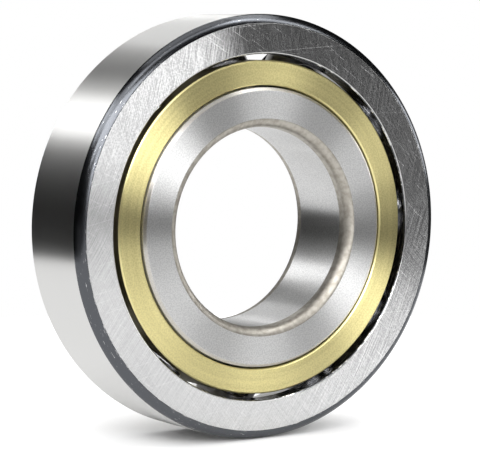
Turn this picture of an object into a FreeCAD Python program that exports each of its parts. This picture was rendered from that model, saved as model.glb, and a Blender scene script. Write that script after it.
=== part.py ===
"""Single-row angular contact ball bearing with a machined brass cage, as a parametric document.

The bearing's centre is the origin and its axis lies along Y, so it stands on its rim with +Z up.
The wide face of the outer ring, behind its high shoulder, looks towards -Y. All sizes are in mm.
"""
import FreeCAD, Part
import os
import Sketcher

FRONT = "-Sizes.ring_width / 2"
BACK = "Sizes.ring_width / 2"
ROOT_POINT = (-1, 1)  # the sketch's own origin, as a geometry index and a point on it

# Driving dimensions: the name of each cell, its value and what it measures.
DRIVING = (
    ("bore_diameter", 80, "bore of the inner ring"),
    ("race_wall", 8.61, "each ring's wall behind the balls, which brings the outside to 170"),
    ("ring_width", 39, "width of both rings"),
    ("ball_diameter", 27.78, "ball, 1 3/32 inch"),
    ("ball_count", 11, "balls in the row"),
    ("ball_phase", 22.5, "turn of the first ball from +Z, about +Y, in degrees"),
    ("contact_angle", 40, "tilt of the line through a ball's two contacts, in degrees"),
    ("race_ratio", 0.52, "raceway radius over ball diameter"),
    ("race_clearance", 0.1, "gap from ball to raceway along the contact line"),
    ("outer_corner", 3.7, "legs of the outer ring's corner beside the wide face"),
    ("outer_corner_arc", 4.3, "radius of that corner's rounding"),
    ("open_corner", 1.3, "legs of the outer ring's corner on the open side"),
    ("outer_shoulder_ratio", 0.259, "outer ring's shoulder height over ball diameter"),
    ("shoulder_chamfer", 0.5, "chamfer between that shoulder and the wide face"),
    ("snap_lip", 0.2, "height of the lip that keeps the balls in"),
    ("lip_end", 5.5, "end of the lip's straight land, from mid-width"),
    ("open_taper", 4, "flare of the open side behind the lip, in degrees"),
    ("open_chamfer", 0.8, "chamfer between that flare and the narrow face"),
    ("bore_corner_radial", 3.5, "radial leg of the bore's corners"),
    ("bore_corner_axial", 3.8, "axial leg of the bore's corners"),
    ("bore_corner_arc", 3.9, "radius of the bore corners' rounding"),
    ("bore_lead_end", 5.5, "end of the slight taper from each corner into the ground bore, from the face"),
    ("bore_lead_rise", 0.15, "how far that taper opens by the corner"),
    ("inner_shoulder_ratio", 0.264, "inner ring's shoulder height over ball diameter"),
    ("land_chamfer", 1.2, "chamfer at both ends of the inner ring's outside"),
    ("cage_gap", 0.9, "gap between the cage and the inner ring's shoulders"),
    ("cage_rim_gap", 2.45, "gap between the cage and the outer ring's shoulder"),
    ("cage_recess", 0.9, "setback of the cage's end faces from the rings' faces"),
    ("cage_chamfer", 0.55, "chamfer on the cage's four rims"),
    ("pocket_clearance", 0.2, "gap between a ball and its pocket"),
)

# Sizes that follow from the driving ones.
DERIVED = (
    ("ball_radius", "ball_diameter / 2"),
    ("pitch_radius", "bore_diameter / 2 + race_wall + ball_radius"),
    ("outside_radius", "pitch_radius + ball_radius + race_wall"),
    ("race_radius", "race_ratio * ball_diameter"),
    ("race_offset", "race_radius - ball_radius - race_clearance"),
    ("race_shift_axial", "race_offset * sin(contact_angle)"),
    ("race_shift_radial", "race_offset * cos(contact_angle)"),
    ("shoulder_radius", "pitch_radius + ball_radius - outer_shoulder_ratio * ball_diameter"),
    ("lip_radius", "pitch_radius + ball_radius - snap_lip"),
    ("flare_end", "ring_width / 2 - open_chamfer"),
    ("flare_radius", "lip_radius + (flare_end - lip_end) * tan(open_taper)"),
    ("land_radius", "pitch_radius - ball_radius + inner_shoulder_ratio * ball_diameter"),
    ("cage_bore_radius", "land_radius + cage_gap"),
    ("cage_rim_radius", "shoulder_radius - cage_rim_gap"),
    ("cage_end", "ring_width / 2 - cage_recess"),
    ("pocket_radius", "ball_radius + pocket_clearance"),
)


def fill_sheet(doc):
    """The spreadsheet that every feature reads: a name, a value and a note in each row."""
    sheet = doc.addObject("Spreadsheet::Sheet", "Sizes")
    rows = [(name, str(number), note) for name, number, note in DRIVING]
    rows += [(name, "=" + formula, "worked out") for name, formula in DERIVED]
    for row, (name, content, note) in enumerate(rows, start=1):
        sheet.set(f"A{row}", name)
        sheet.set(f"B{row}", content)
        sheet.set(f"C{row}", note)
        sheet.setAlias(f"B{row}", name)
    doc.recompute()
    return sheet


def new_body(doc, label):
    body = doc.addObject("PartDesign::Body", label)
    body.Label = label
    return body


def origin_part(body, role):
    """The plane or axis of the body's own origin that has this role."""
    return next(item for item in body.Origin.OriginFeatures if item.Role == role)


def new_sketch(body, name, role):
    sketch = body.newObject("Sketcher::SketchObject", name)
    sketch.AttachmentSupport = [(origin_part(body, role), "")]
    sketch.MapMode = "FlatFace"
    return sketch


def bind(sketch, kind, *place, expression):
    """Adds one dimension to the sketch and ties it to the sheet."""
    number = sketch.addConstraint(Sketcher.Constraint(kind, *place, sketch.evalExpression(expression)))
    sketch.setExpression(f"Constraints[{number}]", expression)


def convex_arc(start, end, radius, inside):
    """The arc from start to end that bulges away from the point inside."""
    chord = end - start
    middle = (start + end) / 2
    normal = FreeCAD.Vector(-chord.y, chord.x, 0).normalize()
    if normal.dot(inside - middle) < 0:
        normal = -normal
    reach = (radius**2 - (chord.Length / 2) ** 2) ** 0.5
    top = middle + normal * (reach - radius)
    return Part.ArcOfCircle(start, top, end)


def closed_outline(sketch, corners):
    """Draws a closed outline through corners of (along the axis, out from the axis, arc radius or None).

    A corner's arc radius rounds the stretch from it to the next corner.
    """
    read = sketch.evalExpression
    points = [FreeCAD.Vector(read(along), read(out), 0) for along, out, _ in corners]
    inside = sum(points, FreeCAD.Vector()) / len(points)
    stretches = []
    for index, (_, _, arc_radius) in enumerate(corners):
        start, end = points[index], points[(index + 1) % len(points)]
        if arc_radius:
            edge = sketch.addGeometry(convex_arc(start, end, read(arc_radius), inside), False)
            bind(sketch, "Radius", edge, expression=arc_radius)
        else:
            edge = sketch.addGeometry(Part.LineSegment(start, end), False)
        # A sketch keeps its arcs counter-clockwise, so an arc may start at the stretch's far end.
        apart = [sketch.getPoint(edge, end).distanceToPoint(start) for end in (1, 2)]
        stretches.append((edge, 1, 2) if apart[0] < apart[1] else (edge, 2, 1))
    for index, (along, out, _) in enumerate(corners):
        edge, first, _ = stretches[index]
        last_edge, _, last_end = stretches[index - 1]
        sketch.addConstraint(Sketcher.Constraint("Coincident", last_edge, last_end, edge, first))
        bind(sketch, "DistanceX", *ROOT_POINT, edge, first, expression=along)
        bind(sketch, "DistanceY", *ROOT_POINT, edge, first, expression=out)


def revolve(body, name, corners):
    """A solid of revolution about Y. A sketch on the YZ plane has the axis along its own X."""
    sketch = new_sketch(body, name + "Outline", "YZ_Plane")
    closed_outline(sketch, corners)
    solid = body.newObject("PartDesign::Revolution", name)
    solid.Profile = sketch
    solid.ReferenceAxis = (sketch, ["H_Axis"])
    solid.Angle = 360
    return solid


def grind_raceway(body, name, along, out):
    """Cuts the raceway, a ring groove of round section whose centre is given from the bearing's centre."""
    sketch = new_sketch(body, name + "Section", "YZ_Plane")
    read = sketch.evalExpression
    centre = FreeCAD.Vector(read(along), read(out), 0)
    circle = Part.Circle(centre, FreeCAD.Vector(0, 0, 1), read("Sizes.race_radius"))
    edge = sketch.addGeometry(circle, False)
    bind(sketch, "Radius", edge, expression="Sizes.race_radius")
    bind(sketch, "DistanceX", *ROOT_POINT, edge, 3, expression=along)
    bind(sketch, "DistanceY", *ROOT_POINT, edge, 3, expression=out)
    groove = body.newObject("PartDesign::Groove", name)
    groove.Profile = sketch
    groove.ReferenceAxis = (sketch, ["H_Axis"])
    groove.Angle = 360
    body.Tip = groove


def outer_ring(doc):
    """High shoulder towards -Y, raceway, then a low snap lip and a flare open towards +Y."""
    body = new_body(doc, "outer_ring")
    outside = "Sizes.outside_radius"
    corners = (
        (f"{FRONT} + Sizes.shoulder_chamfer", "Sizes.shoulder_radius", None),
        (FRONT, "Sizes.shoulder_radius + Sizes.shoulder_chamfer", None),
        (FRONT, f"{outside} - Sizes.outer_corner", "Sizes.outer_corner_arc"),
        (f"{FRONT} + Sizes.outer_corner", outside, None),
        (f"{BACK} - Sizes.open_corner", outside, None),
        (BACK, f"{outside} - Sizes.open_corner", None),
        (BACK, "Sizes.flare_radius + Sizes.open_chamfer", None),
        ("Sizes.flare_end", "Sizes.flare_radius", None),
        ("Sizes.lip_end", "Sizes.lip_radius", None),
        ("Sizes.race_shift_axial", "Sizes.lip_radius", None),
        ("Sizes.race_shift_axial", "Sizes.shoulder_radius", None),
    )
    revolve(body, "OuterBlank", corners)
    out = "Sizes.pitch_radius - Sizes.race_shift_radial"
    grind_raceway(body, "OuterRaceway", "Sizes.race_shift_axial", out)


def inner_ring(doc):
    """Two equal shoulders with the raceway between them, and a rounded corner at each end of the bore."""
    body = new_body(doc, "inner_ring")
    bore = "Sizes.bore_diameter / 2"
    bore_corner = f"{bore} + Sizes.bore_corner_radial"
    land_corner = "Sizes.land_radius - Sizes.land_chamfer"
    lead_top = f"{bore} + Sizes.bore_lead_rise"
    corners = (
        (f"{FRONT} + Sizes.bore_corner_axial", lead_top, None),
        (f"{FRONT} + Sizes.bore_lead_end", bore, None),
        (f"{BACK} - Sizes.bore_lead_end", bore, None),
        (f"{BACK} - Sizes.bore_corner_axial", lead_top, "Sizes.bore_corner_arc"),
        (BACK, bore_corner, None),
        (BACK, land_corner, None),
        (f"{BACK} - Sizes.land_chamfer", "Sizes.land_radius", None),
        (f"{FRONT} + Sizes.land_chamfer", "Sizes.land_radius", None),
        (FRONT, land_corner, None),
        (FRONT, bore_corner, "Sizes.bore_corner_arc"),
    )
    revolve(body, "InnerBlank", corners)
    out = "Sizes.pitch_radius + Sizes.race_shift_radial"
    grind_raceway(body, "InnerRaceway", "-Sizes.race_shift_axial", out)


def cage(doc):
    """One brass ring with a window for each ball, bored from outside down to a ball-shaped seat."""
    body = new_body(doc, "cage")
    corners = []
    for side in ("-", ""):
        end = f"{side}Sizes.cage_end"
        inset = f"{side}(Sizes.cage_end - Sizes.cage_chamfer)"
        rims = [
            (inset, "Sizes.cage_bore_radius", None),
            (end, "Sizes.cage_bore_radius + Sizes.cage_chamfer", None),
            (end, "Sizes.cage_rim_radius - Sizes.cage_chamfer", None),
            (inset, "Sizes.cage_rim_radius", None),
        ]
        corners += rims if side else rims[::-1]
    revolve(body, "CageBlank", corners)

    seat = body.newObject("PartDesign::SubtractiveSphere", "PocketSeat")
    seat.AttachmentSupport = [(origin_part(body, "XY_Plane"), "")]
    seat.MapMode = "FlatFace"
    seat.setExpression("Radius", "Sizes.pocket_radius")
    seat.setExpression("AttachmentOffset.Base.z", "Sizes.pitch_radius")

    window = body.newObject("PartDesign::SubtractiveCylinder", "PocketWindow")
    window.AttachmentSupport = [(origin_part(body, "XY_Plane"), "")]
    window.MapMode = "FlatFace"
    window.setExpression("Radius", "Sizes.pocket_radius")
    window.setExpression("Height", "Sizes.cage_rim_radius - Sizes.pitch_radius + Sizes.pocket_radius")
    window.setExpression("AttachmentOffset.Base.z", "Sizes.pitch_radius")

    pockets = body.newObject("PartDesign::PolarPattern", "Pockets")
    pockets.Originals = [seat, window]
    pockets.Axis = (origin_part(body, "Y_Axis"), [""])
    pockets.Angle = 360
    pockets.setExpression("Occurrences", "Sizes.ball_count")
    body.Tip = pockets

    body.Placement.Rotation = FreeCAD.Rotation(FreeCAD.Vector(0, 1, 0), 1)
    body.setExpression("Placement.Rotation.Angle", "Sizes.ball_phase")


def ball(doc, index):
    """A ball on the pitch circle, counted round +Y from the first one."""
    sphere = doc.addObject("Part::Sphere", f"ball_{index + 1:02d}")
    sphere.Label = f"ball_{index + 1:02d}"
    sphere.setExpression("Radius", "Sizes.ball_radius")
    turn = f"Sizes.ball_phase + 360 / Sizes.ball_count * {index}"
    sphere.setExpression("Placement.Base.x", f"Sizes.pitch_radius * sin({turn})")
    sphere.setExpression("Placement.Base.z", f"Sizes.pitch_radius * cos({turn})")


def check(doc):
    """Stops on any object that failed, because a recompute doesn't say so by itself."""
    for item in doc.Objects:
        if {"Invalid", "Error"} & set(item.State):
            raise RuntimeError(f"{item.Label} failed: {item.State}")


def export(doc):
    """Writes each sub-part's solid to a STEP file of its own name."""
    os.makedirs("parts", exist_ok=True)
    sub_parts = doc.findObjects("PartDesign::Body") + doc.findObjects("Part::Sphere")
    for item in sub_parts:
        if item.Shape.isNull() or not item.Shape.isValid() or len(item.Shape.Solids) != 1:
            raise RuntimeError(f"{item.Label} isn't one valid solid")
        print(item.Label, round(item.Shape.Volume), "mm3")
        item.Shape.exportStep(f"parts/{item.Label}.step")


document = FreeCAD.newDocument("AngularContactBearing")
sizes = fill_sheet(document)
outer_ring(document)
inner_ring(document)
cage(document)
for ball_index in range(int(sizes.ball_count)):
    ball(document, ball_index)
document.recompute()
check(document)
export(document)
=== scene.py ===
from math import cos, pi, radians, sin, tan, tau

import bmesh
import bpy
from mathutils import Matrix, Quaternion, Vector


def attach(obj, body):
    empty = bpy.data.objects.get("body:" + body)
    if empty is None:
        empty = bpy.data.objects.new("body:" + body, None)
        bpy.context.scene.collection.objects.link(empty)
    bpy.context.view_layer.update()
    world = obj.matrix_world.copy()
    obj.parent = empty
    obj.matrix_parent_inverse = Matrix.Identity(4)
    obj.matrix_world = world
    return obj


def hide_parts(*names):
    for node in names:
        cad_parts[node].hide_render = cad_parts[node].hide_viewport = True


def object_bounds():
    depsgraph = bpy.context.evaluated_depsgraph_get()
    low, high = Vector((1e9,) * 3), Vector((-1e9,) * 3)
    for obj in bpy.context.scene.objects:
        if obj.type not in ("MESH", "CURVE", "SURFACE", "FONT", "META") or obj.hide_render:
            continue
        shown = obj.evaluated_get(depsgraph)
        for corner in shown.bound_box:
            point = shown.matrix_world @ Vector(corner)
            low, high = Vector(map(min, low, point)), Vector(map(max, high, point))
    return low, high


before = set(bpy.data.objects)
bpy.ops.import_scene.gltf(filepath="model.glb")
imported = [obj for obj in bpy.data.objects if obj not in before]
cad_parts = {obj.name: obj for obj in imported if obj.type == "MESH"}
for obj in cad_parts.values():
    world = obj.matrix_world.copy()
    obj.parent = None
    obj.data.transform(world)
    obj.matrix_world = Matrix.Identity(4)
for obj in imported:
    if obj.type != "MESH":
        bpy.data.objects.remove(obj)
cad_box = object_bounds()

# Outer ring: one piece of hardened bearing steel, turned from a forging and then ground on its rim, its two
# faces and its raceway. The corner beside the wide face is left dark with scale, and the shoulder's bore gets
# the same dark colour as painted shade.
# It stands still while the others turn.
MM = 0.001
TURN_STEPS = 256
CORNER_STEPS = 18
SHARP = radians(7)
EDGE_BREAK = 0.18
EDGE_STEPS = 3
WELD = 1e-7


class Section:
    """Half of a ring's cross-section, drawn clockwise in distances along the axle and out from it."""

    def __init__(self, along, out):
        self.shape = bmesh.new()
        self.start = self.shape.verts.new((0, along * MM, out * MM))
        self.tip = self.start

    def line(self, along, out):
        """Goes straight on to a point."""
        tip = self.shape.verts.new((0, along * MM, out * MM))
        self.shape.edges.new((self.tip, tip))
        self.tip = tip

    def arc(self, along, out, radius, steps):
        """Goes on to a point round an arc, which bulges outwards, or into the metal for a negative radius."""
        end = Vector((0, along * MM, out * MM))
        chord = end - self.tip.co
        inward = Vector((0, chord.z, -chord.y)).normalized()
        rise = ((radius * MM) ** 2 - chord.length_squared / 4) ** 0.5
        if radius < 0:
            inward.negate()
        centre = (self.tip.co + end) / 2 + inward * rise
        turn = (self.tip.co - centre).angle(end - centre)
        made = bmesh.ops.spin(self.shape, geom=[self.tip], cent=centre, axis=(1, 0, 0), dvec=(0, 0, 0),
                              angle=-turn if radius > 0 else turn, steps=steps, use_merge=False)
        self.tip = made["geom_last"][0]

    def turned(self, name):
        """Closes the section, turns it round the axle, breaks its sharp edges and returns the piece."""
        shape = self.shape
        shape.edges.new((self.tip, self.start))
        bmesh.ops.spin(shape, geom=shape.verts[:] + shape.edges[:], cent=(0, 0, 0), axis=(0, 1, 0),
                       dvec=(0, 0, 0), angle=tau, steps=TURN_STEPS, use_merge=True)
        bmesh.ops.remove_doubles(shape, verts=shape.verts, dist=WELD)
        bmesh.ops.recalc_face_normals(shape, faces=shape.faces)
        sharp = [edge for edge in shape.edges if edge.calc_face_angle(0) > SHARP]
        strips = set(bmesh.ops.bevel(shape, geom=sharp, offset=EDGE_BREAK * MM, offset_type="OFFSET",
                                     segments=EDGE_STEPS, profile=0.5, affect="EDGES", clamp_overlap=True,
                                     material=-1)["faces"])
        for face in shape.faces:
            face.smooth = True
        for edge in shape.edges:
            edge.smooth = len(strips.intersection(edge.link_faces)) != 1
        mesh = bpy.data.meshes.new(name)
        shape.to_mesh(mesh)
        shape.free()
        piece = bpy.data.objects.new(name, mesh)
        bpy.context.scene.collection.objects.link(piece)
        return piece


class Amount:
    """A number that changes over a surface; Python's operators add the Math nodes that work it out."""

    def __init__(self, finish, socket):
        self.finish = finish
        self.socket = socket

    def maths(self, operation, *values):
        return self.finish.node("Math", {"operation": operation}, dict(enumerate(values)))

    def __add__(self, other):
        return self.maths("ADD", self, other)

    __radd__ = __add__

    def __sub__(self, other):
        return self.maths("SUBTRACT", self, other)

    def __rsub__(self, other):
        return self.maths("SUBTRACT", other, self)

    def __mul__(self, other):
        return self.maths("MULTIPLY", self, other)

    def __truediv__(self, other):
        return self.maths("DIVIDE", self, other)

    def __pow__(self, other):
        return self.maths("POWER", self, other)

    def between(self, low, high):
        """0 below low and 1 above high, with a soft step, or the other way round where low is the larger."""
        ends = {1: low, 2: high, 3: 0, 4: 1}
        if low > high:
            ends = {1: high, 2: low, 3: 1, 4: 0}
        return self.finish.node("MapRange", {"interpolation_type": "SMOOTHSTEP"}, {0: self, **ends})


def diagonal(one, other):
    """How far two distances at right angles reach together."""
    return (one * one + other * other) ** 0.5


QUARTER_TURN = 0.25
# How far a step along the axle moves a pattern of rings on, as a share of the same step outwards.
ALONG_SHARE = 0.62


class Finish:
    """The nodes of a material or of the room's light."""

    def __init__(self, owner):
        owner.use_nodes = True
        self.owner = owner
        self.nodes = owner.node_tree.nodes
        self.links = owner.node_tree.links
        self.nodes.clear()

    def node(self, kind, settings=None, sockets=None, out=0):
        """Adds a node, gives it its settings and then its sockets' values or links, and returns an output."""
        made = self.nodes.new("ShaderNode" + kind)
        for name, value in (settings or {}).items():
            setattr(made, name, value)
        for name, value in (sockets or {}).items():
            socket = made.inputs[name]
            if isinstance(value, Amount):
                self.links.new(value.socket, socket)
            else:
                socket.default_value = (*value, 1) if socket.type == "RGBA" else value
        return Amount(self, made.outputs[out]) if made.outputs else None

    def mix(self, share, low, high):
        """One colour going over to another."""
        return self.node("Mix", {"data_type": "RGBA"}, {0: share, 6: low, 7: high}, 2)

    def parts(self, vector):
        """A vector's three numbers."""
        split = self.node("SeparateXYZ", None, {0: vector}).socket.node
        return [Amount(self, output) for output in split.outputs]

    def spot(self):
        """Where a point is, in metres from the middle of the part."""
        return self.node("TexCoord", out=3)

    def place(self):
        """Where a point is, in mm: to the side, along the axle and up."""
        return self.parts(self.node("VectorMath", {"operation": "SCALE"}, {0: self.spot(), 3: 1 / MM}))

    def reach(self):
        """How far out from the axle a point is, in mm."""
        x, _, z = self.place()
        return diagonal(x, z)

    def round_the_axle(self, around, step):
        """Coordinates for marks that run round the axle: around says how often they change along their
        length, and step how often across it, for each mm."""
        x, y, z = self.place()
        out = diagonal(x, z)
        return self.node("CombineXYZ", None, {0: x / out * around, 1: (out + y * ALONG_SHARE) * step,
                                              2: z / out * around})

    def noise(self, where, scale, detail=2, roughness=0.5):
        return self.node("TexNoise", None, {"Vector": where, "Scale": scale, "Detail": detail,
                                            "Roughness": roughness})

    def ground(self, colour, roughness, height, depth, streak, grooves=None):
        """Metal ground in one direction, which stretches its highlights across the grooves: round the axle
        unless grooves gives a direction. Depth is how deep they are in mm."""
        normal = self.node("Bump", None, {"Strength": 1, "Distance": depth * MM, "Height": height})
        sockets = {"Base Color": colour, "Roughness": roughness, "Metallic": 1, "Normal": normal}
        if streak:
            grooves = grooves or self.node("Tangent", {"direction_type": "RADIAL", "axis": "Y"})
            sockets.update({"Anisotropic": streak, "Anisotropic Rotation": QUARTER_TURN, "Tangent": grooves})
        return self.node("BsdfPrincipled", None, sockets)

    def done(self, surface):
        """Ends the material and returns it."""
        self.node("OutputMaterial", None, {0: surface})
        return self.owner


RIM = 85
FACE = 19.5
PITCH = 62.5
RACEWAY = 14.4456
RACE_SHIFT = (0.293, 0.349)
OUTER_RACE_STEPS = 40
CORNER = 3.7
CORNER_ARC = 4.3
OPEN_CORNER = 1.3
SHOULDER = 69.195
SHOULDER_CHAMFER = 0.5
LIP = 76.19
LIP_END = 5.5
FLARE = (18.7, 77.113)


def race_reach(out, centre):
    """How far along the axle a raceway reaches from its centre, out at this distance from the axle."""
    return (RACEWAY ** 2 - (out - centre) ** 2) ** 0.5


race_centre = PITCH - RACE_SHIFT[1]
outer = Section(-FACE, SHOULDER + SHOULDER_CHAMFER)
outer.line(-FACE, RIM - CORNER)
outer.arc(CORNER - FACE, RIM, CORNER_ARC, CORNER_STEPS)
outer.line(FACE - OPEN_CORNER, RIM)
outer.line(FACE, RIM - OPEN_CORNER)
outer.line(FACE, FLARE[1] + FACE - FLARE[0])
outer.line(*FLARE)
outer.line(LIP_END, LIP)
outer.line(RACE_SHIFT[0] + race_reach(LIP, race_centre), LIP)
outer.arc(RACE_SHIFT[0] - race_reach(SHOULDER, race_centre), SHOULDER, -RACEWAY, OUTER_RACE_STEPS)
outer.line(SHOULDER_CHAMFER - FACE, SHOULDER)
outer_ring = outer.turned("outer_ring_ground")

RIM_STEEL = (0.70, 0.698, 0.688)

rim_steel = Finish(bpy.data.materials.new("ground_rim_steel"))
lines = rim_steel.noise(rim_steel.round_the_axle(3, 5), 1, 3, 0.6)
bands = rim_steel.noise(rim_steel.round_the_axle(1.5, 0.7), 1, 3)
surface = rim_steel.ground(RIM_STEEL, 0.32 + (bands - 0.5) * 0.04, lines, 0.0015, 1)
outer_ring.data.materials.append(rim_steel.done(surface))

# The wide face was ground by a wheel that swept across it. Its swirls turn the light one way, and the
# straight strokes that lie over them another.
FACE_DARK = (0.46, 0.46, 0.465)
FACE_LIGHT = (0.75, 0.75, 0.75)
STROKE_DIRECTION = (0.42, 0, 0.91)
# Where the straight strokes show most: turn from +Z and spread in degrees, and strength.
STROKE_FIELDS = ((315, 42, 0.9), (235, 60, 0.5), (160, 60, 0.6), (100, 25, 0.12))
FIELD_CORE = 0.2
LEAST_STROKES = 0.05
SCRATCHED = (0.60, 0.66)
SMOOTHEST_TURN = 225
SMOOTHING = 0.75

face_steel = Finish(bpy.data.materials.new("ground_face_steel"))
x, _, z = face_steel.place()
out = diagonal(x, z)


def strokes(middle, layer, along, across):
    """Marks on arcs round a far middle, given in mm to the side and up from the axle. Along and across say
    how often they change, and each layer has a pattern of its own."""
    sweep = diagonal(x - middle[0], z - middle[1])
    rise = (z - middle[1]) / sweep
    track = face_steel.node("CombineXYZ", None, {0: sweep * across, 1: rise * along, 2: layer})
    return face_steel.noise(track, 1, 3, 0.65)


def lies_at(turn):
    """1 where the face lies at this turn from +Z in degrees, falling to -1 on the other side."""
    return (x * sin(radians(turn)) + z * cos(radians(turn))) / out


leaning = strokes((-260, 110), 0, 14, 3.2)
crossing = strokes((240, 135), 5, 14, 2.6)
steep_scratches = strokes((70, -620), 9, 60, 1.1).between(*SCRATCHED)
flat_scratches = strokes((-300, -420), 14, 50, 1.4).between(*SCRATCHED)
grit = face_steel.noise(face_steel.spot(), 1500, 2)
share = LEAST_STROKES
for turn, spread, strength in STROKE_FIELDS:
    core = lies_at(turn).between(cos(radians(spread)), cos(radians(spread * FIELD_CORE)))
    share = share + core * strength
marks = 1 - lies_at(SMOOTHEST_TURN).between(-0.1, 0.6) * SMOOTHING
share = share + ((leaning - 0.52) * 1.2 + (steep_scratches + flat_scratches) * 0.3) * marks
height = (crossing * 0.8 + grit * 0.3 + leaning * 0.4) * marks
patches = (leaning + crossing + grit - 1.5) * marks
colour = face_steel.mix(patches.between(-0.18, 0.18), FACE_DARK, FACE_LIGHT)
swirl = face_steel.ground(colour, 0.22 + (crossing - 0.5) * 0.12, height, 0.008, 0.4)
direction = face_steel.node("CombineXYZ", None, dict(enumerate(STROKE_DIRECTION)))
straight = face_steel.ground(colour, 0.33, height, 0.004, 1, direction)
surface = face_steel.node("MixShader", None, {0: share.between(0, 1), 1: swirl, 2: straight})
outer_ring.data.materials.append(face_steel.done(surface))

# The scale is worn through to bright metal in small nicks. More of them show where the corner meets the face,
# partly as wear and partly as a painted highlight along that edge.
SCALE_AND_SHADE_COLOUR = (0.105, 0.11, 0.12)
BARE_STEEL_AND_GLINT = (0.665, 0.665, 0.665)
WORN_AND_GLINT_STRIP = (0.6, 0.1)

# This dark colour is real scale on the corner, and painted shade on the shoulder's bore.
scale_and_shade = Finish(bpy.data.materials.new("corner_scale_and_shoulder_shade"))
grain = scale_and_shade.noise(scale_and_shade.round_the_axle(70, 1.2), 1, 3, 0.6)
nicks = scale_and_shade.noise(scale_and_shade.round_the_axle(22, 3), 1, 2, 0.7)
# Next to the face more bare metal shows: wear, and a painted highlight along the edge.
worn_and_glint_edge = (RIM - scale_and_shade.reach()).between(CORNER - WORN_AND_GLINT_STRIP[0], CORNER - WORN_AND_GLINT_STRIP[1])
colour = scale_and_shade.mix((nicks + worn_and_glint_edge * 0.12).between(0.66, 0.74), SCALE_AND_SHADE_COLOUR, BARE_STEEL_AND_GLINT)
surface = scale_and_shade.ground(colour, 0.21 + (grain - 0.5) * 0.15, grain, 0.012, 0.7)
outer_ring.data.materials.append(scale_and_shade.done(surface))

ACROSS_THE_AXLE = 0.999
SHOULDER_SHADE_END = -14.4
for face in outer_ring.data.polygons:
    along, out = face.center.y / MM, face.center.xz.length / MM
    on_corner = along < CORNER - FACE and out > RIM - CORNER
    # The shoulder's bore takes the dark colour as painted shade for the gap beside the cage, not as scale.
    shaded_shoulder = along < SHOULDER_SHADE_END and out < SHOULDER + SHOULDER_CHAMFER - EDGE_BREAK
    if abs(face.normal.y) > ACROSS_THE_AXLE:
        face.material_index = 1
    elif on_corner or shaded_shoulder:
        face.material_index = 2
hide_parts("outer_ring")
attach(outer_ring, "outer_ring")

# Inner ring: the same steel, with two equal shoulders and the raceway between them. Its faces are finely
# turned in circles, and the large roundings at its bore are dull and stained brown.
# It is pressed on the shaft and turns with it.
BORE = 40
LAND = 55.944
LAND_CHAMFER = 1.2
BORE_CORNER = (3.8, 3.5)
BORE_CORNER_ARC = 3.9
BORE_LEAD = (5.5, 0.15)
INNER_RACE_STEPS = 48

race_centre = PITCH + RACE_SHIFT[1]
inner = Section(-FACE, BORE + BORE_CORNER[1])
inner.line(-FACE, LAND - LAND_CHAMFER)
inner.line(LAND_CHAMFER - FACE, LAND)
inner.line(-RACE_SHIFT[0] - race_reach(LAND, race_centre), LAND)
inner.arc(race_reach(LAND, race_centre) - RACE_SHIFT[0], LAND, -RACEWAY, INNER_RACE_STEPS)
inner.line(FACE - LAND_CHAMFER, LAND)
inner.line(FACE, LAND - LAND_CHAMFER)
inner.line(FACE, BORE + BORE_CORNER[1])
inner.arc(FACE - BORE_CORNER[0], BORE + BORE_LEAD[1], BORE_CORNER_ARC, CORNER_STEPS)
inner.line(FACE - BORE_LEAD[0], BORE)
inner.line(BORE_LEAD[0] - FACE, BORE)
inner.line(BORE_CORNER[0] - FACE, BORE + BORE_LEAD[1])
inner.arc(-FACE, BORE + BORE_CORNER[1], BORE_CORNER_ARC, CORNER_STEPS)
inner_ring = inner.turned("inner_ring_ground")

SATIN_DARK = (0.60, 0.60, 0.60)
SATIN_LIGHT = (0.74, 0.74, 0.735)
STAIN = (0.62, 0.57, 0.52)
STAIN_SHARE = 0.4
STAIN_EDGE = 0.1

steel = Finish(bpy.data.materials.new("fine_turned_steel"))
lines = steel.noise(steel.round_the_axle(3, 5), 1, 3, 0.6)
bands = steel.noise(steel.round_the_axle(1.5, 0.8), 1, 3)
grit = steel.noise(steel.spot(), 1800, 2)
out = steel.reach()
chamfer = LAND - LAND_CHAMFER
at_land = out.between(chamfer - STAIN_EDGE, chamfer + STAIN_EDGE) * out.between(LAND, LAND - STAIN_EDGE)
colour = steel.mix(grit.between(0.38, 0.62), SATIN_DARK, SATIN_LIGHT)
colour = steel.mix(at_land * STAIN_SHARE, colour, STAIN)
surface = steel.ground(colour, 0.35 + (bands - 0.5) * 0.04, lines * 0.3 + grit * 0.5, 0.002, 1)
inner_ring.data.materials.append(steel.done(surface))

CORNER_LIGHT = (0.47, 0.445, 0.40)
CORNER_DARK = (0.35, 0.325, 0.285)

stained = Finish(bpy.data.materials.new("stained_bore_corner"))
grain = stained.noise(stained.round_the_axle(30, 2), 1, 3, 0.6)
blotches = stained.noise(stained.spot(), 500, 3)
colour = stained.mix(blotches.between(0.35, 0.65), CORNER_LIGHT, CORNER_DARK)
surface = stained.ground(colour, 0.45 + (grain - 0.5) * 0.2, grain, 0.01, 0)
inner_ring.data.materials.append(stained.done(surface))
for face in inner_ring.data.polygons:
    depth = FACE * MM - abs(face.center.y)
    if depth < BORE_LEAD[0] * MM and face.center.xz.length < (BORE + BORE_CORNER[1]) * MM:
        face.material_index = 1
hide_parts("inner_ring")
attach(inner_ring, "inner_ring")

# Cage: one turned ring of brass, with a window drilled for each ball that also holds it. Its end faces are
# turned in fine circles, its long edges have bright chamfers, and its outside is dull, darkened in colour as
# painted shade.
# It runs between the two rings.
BRASS = (0.95, 0.85, 0.42)
DULL_BRASS = (0.74, 0.655, 0.30)
# Painted shade: the outside's dark brass stands for the shade in the gap between the rings.
SHADED_BRASS = (0.20, 0.17, 0.09)
CAGE_RIM = 66.5
CAGE_EDGE = 2
CHAMFER_TILT = (0.3, 0.95)

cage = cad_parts["cage"]
cage.data.materials.clear()

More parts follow.
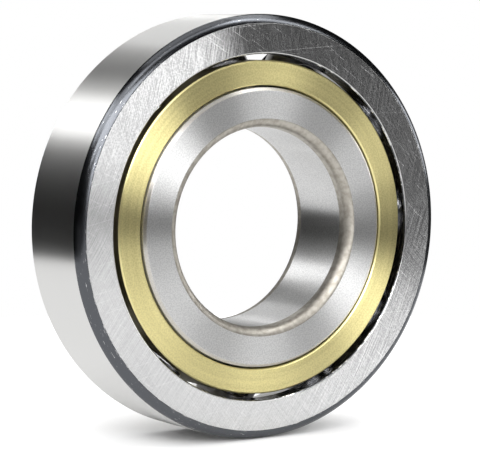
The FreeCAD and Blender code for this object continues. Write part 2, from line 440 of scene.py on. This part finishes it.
brass = Finish(bpy.data.materials.new("turned_brass"))
lines = brass.noise(brass.round_the_axle(3, 4), 1, 3, 0.6)
bands = brass.noise(brass.round_the_axle(1.5, 0.8), 1, 3)
grit = brass.noise(brass.spot(), 1500, 2)
colour = brass.mix(bands.between(0.3, 0.7) * 0.4 + grit.between(0.35, 0.65) * 0.6, DULL_BRASS, BRASS)
surface = brass.ground(colour, 0.31 + (bands - 0.5) * 0.04, lines * 0.3 + grit * 0.5, 0.002, 1)
cage.data.materials.append(brass.done(surface))

for name, colour, roughness, depth, streak in (("painted_shade_brass_outside", SHADED_BRASS, 0.45, 0.005, 0.5),
                                               ("bright_brass_edge", BRASS, 0.3, 0.003, 0)):
    finish = Finish(bpy.data.materials.new(name))
    lines = finish.noise(finish.round_the_axle(3, 4), 1, 3, 0.6)
    cage.data.materials.append(finish.done(finish.ground(colour, roughness, lines, depth, streak)))
for face in cage.data.polygons:
    tilt = abs(face.normal.y)
    if CHAMFER_TILT[0] < tilt < CHAMFER_TILT[1] and abs(face.center.y) > (FACE - CAGE_EDGE) * MM:
        face.material_index = 2
    # Faces on the outside take the painted shade.
    elif face.center.xz.length > CAGE_RIM * MM and tilt < 0.5:
        face.material_index = 1

# Balls: eleven of hardened steel, lapped to a mirror under a thin film of oil.
# They roll between the raceways at the contact angle.
BALL_STEEL = (0.74, 0.74, 0.76)
FILMED_STEEL = (0.68, 0.67, 0.66)

chrome = Finish(bpy.data.materials.new("lapped_ball_steel"))
haze = chrome.noise(chrome.spot(), 900, 2)
film = chrome.noise(chrome.spot(), 60, 3)
colour = chrome.mix(film.between(0.35, 0.65), BALL_STEEL, FILMED_STEEL)
ball_finish = chrome.done(chrome.ground(colour, 0.06 + film * 0.05, haze, 0.0003, 0))
for name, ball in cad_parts.items():
    if name.startswith("ball_"):
        ball.data.materials.clear()
        ball.data.materials.append(ball_finish)

# Studio: a white table that reaches farther in front than behind, before a white backdrop. The dark room
# beyond the table's edge shows in the steel as dark bands. Soft lamps stand high all round, the brightest
# of them in front and to the left.
TABLE_REACH = 0.395
TABLE_FRONT = 2.5
TABLE_GAP = 0.0001
TABLE_STEPS = 96
AZIMUTH = radians(-32.714)
ELEVATION = radians(4.948)
VIEW = Vector((-sin(AZIMUTH) * cos(ELEVATION), cos(AZIMUTH) * cos(ELEVATION), -sin(ELEVATION)))
WHITE = (1, 1, 1)
TABLE_PAINT = (0.86, 0.86, 0.86)
DARK_ROOM = (0.01, 0.01, 0.01)
FAR_FLOOR = (0.13, 0.13, 0.13)


def ray_is(finish, kind):
    """1 for rays of this kind, and 0 for all others."""
    path = finish.node("LightPath").socket.node
    return Amount(finish, path.outputs[f"Is {kind} Ray"])


shape = bmesh.new()
bmesh.ops.create_circle(shape, cap_ends=True, segments=TABLE_STEPS, radius=TABLE_REACH)
for vert in shape.verts:
    if vert.co.y < 0:
        vert.co.y *= TABLE_FRONT
bmesh.ops.translate(shape, verts=shape.verts, vec=(0, 0, cad_box[0].z - TABLE_GAP))
mesh = bpy.data.meshes.new("table")
shape.to_mesh(mesh)
shape.free()
table = bpy.data.objects.new("table", mesh)
bpy.context.scene.collection.objects.link(table)

# Close to the part the table is painted, so that it takes a shadow. Farther off it glows an even white.
top = Finish(bpy.data.materials.new("white_table"))
x, y, _ = top.place()
away = diagonal(x, y)
camera_ray = ray_is(top, "Camera")
paint = top.node("BsdfDiffuse", None, {0: TABLE_PAINT})
glow = top.node("Emission", None, {0: WHITE, 1: camera_ray * 0.15 + 1.15})
glow_seen = camera_ray * (0.04 + away.between(20, 100) * 0.96)
glow_mirrored = ray_is(top, "Glossy") * away.between(25, 100)
share = glow_seen + glow_mirrored + ray_is(top, "Transmission")
surface = top.node("MixShader", None, {0: share, 1: paint, 2: glow})
table.data.materials.append(top.done(surface))

world = bpy.data.worlds.new("room")
bpy.context.scene.world = world
room = Finish(world)
where = room.node("TexCoord", out=0)
_, y, z = room.parts(where)
backdrop = room.node("VectorMath", {"operation": "DOT_PRODUCT"}, {0: where, 1: VIEW}, 1).between(0.96, 0.985)
camera_ray = ray_is(room, "Camera")
in_front = y.between(0.2, -0.2)
below = z.between(0, -0.01)
walls = room.mix(below * in_front, DARK_ROOM, FAR_FLOOR)
colour = room.mix(camera_ray.maths("MAXIMUM", camera_ray, backdrop), walls, WHITE)
light = room.node("Background", None, {0: colour, 1: 1})
room.node("OutputWorld", None, {0: light})

LAMP_DISTANCE = 1.265
# Each soft lamp's name, turn round the bearing from the front and height in degrees, width and height in
# degrees as the bearing sees it, roll in degrees, and how bright its face looks.
LAMPS = (
    ("key", -6.4, 18.2, 30, 27, -30, 5.1),
    ("front_left", -38, 32, 34, 20, 0, 5.6),
    ("high_left", -60, 50, 40, 24, 0, 1.9),
    ("front_top", 0, 62, 50, 18, 0, 1.9),
    ("right_upper", 46, 44, 11, 44, 0, 4.6),
    ("right_low", 74, 9, 24, 14, 0, 4.1),
    ("right_top", 90, 62, 60, 16, 0, 2.0),
    ("overhead", 180, 82, 36, 36, 0, 1.2),
    ("back_middle", 160, 40, 22, 22, 0, 1.6),
    ("back_left", 200, 27, 22, 16, 0, 1.2),
    ("left_back", 250, 43, 24, 18, 0, 4.4),
    ("left", 278, 43, 30, 18, 0, 1.6),
)
for name, turn, lift, wide, tall, roll, strength in LAMPS:
    data = bpy.data.lights.new(name, "AREA")
    data.shape = "RECTANGLE"
    data.size = 2 * LAMP_DISTANCE * tan(radians(wide) / 2)
    data.size_y = 2 * LAMP_DISTANCE * tan(radians(tall) / 2)
    data.energy = strength * data.size * data.size_y * pi
    softbox = bpy.data.objects.new(name, data)
    turn, lift = radians(turn), radians(lift)
    towards = Vector((sin(turn) * cos(lift), -cos(turn) * cos(lift), sin(lift)))
    softbox.location = towards * LAMP_DISTANCE
    aim = towards.to_track_quat("Z", "Y") @ Quaternion((0, 0, 1), radians(roll))
    softbox.rotation_euler = aim.to_euler()
    bpy.context.scene.collection.objects.link(softbox)

# Camera: a long lens low in front and to the left, as a catalogue shows such a bearing.
CAMERA_DISTANCE = 0.93497
# How far the camera stands to the left of the wide face's middle, and how far below it, in metres.
CAMERA_SHIFT = (0.010078, 0.000044)

camera_data = bpy.data.cameras.new("camera")
camera_data.lens = 175.95
camera_data.sensor_width = 36
camera = bpy.data.objects.new("camera", camera_data)
side = Vector((cos(AZIMUTH), sin(AZIMUTH), 0))
face_middle = Vector((0, -FACE * MM, 0))
camera.location = (face_middle - VIEW * CAMERA_DISTANCE - side * CAMERA_SHIFT[0]
                   + VIEW.cross(side) * CAMERA_SHIFT[1])
camera.rotation_euler = (-VIEW).to_track_quat("Z", "Y").to_euler()
bpy.context.scene.collection.objects.link(camera)
bpy.context.scene.camera = camera
bpy.context.scene.view_settings.view_transform = "Standard"
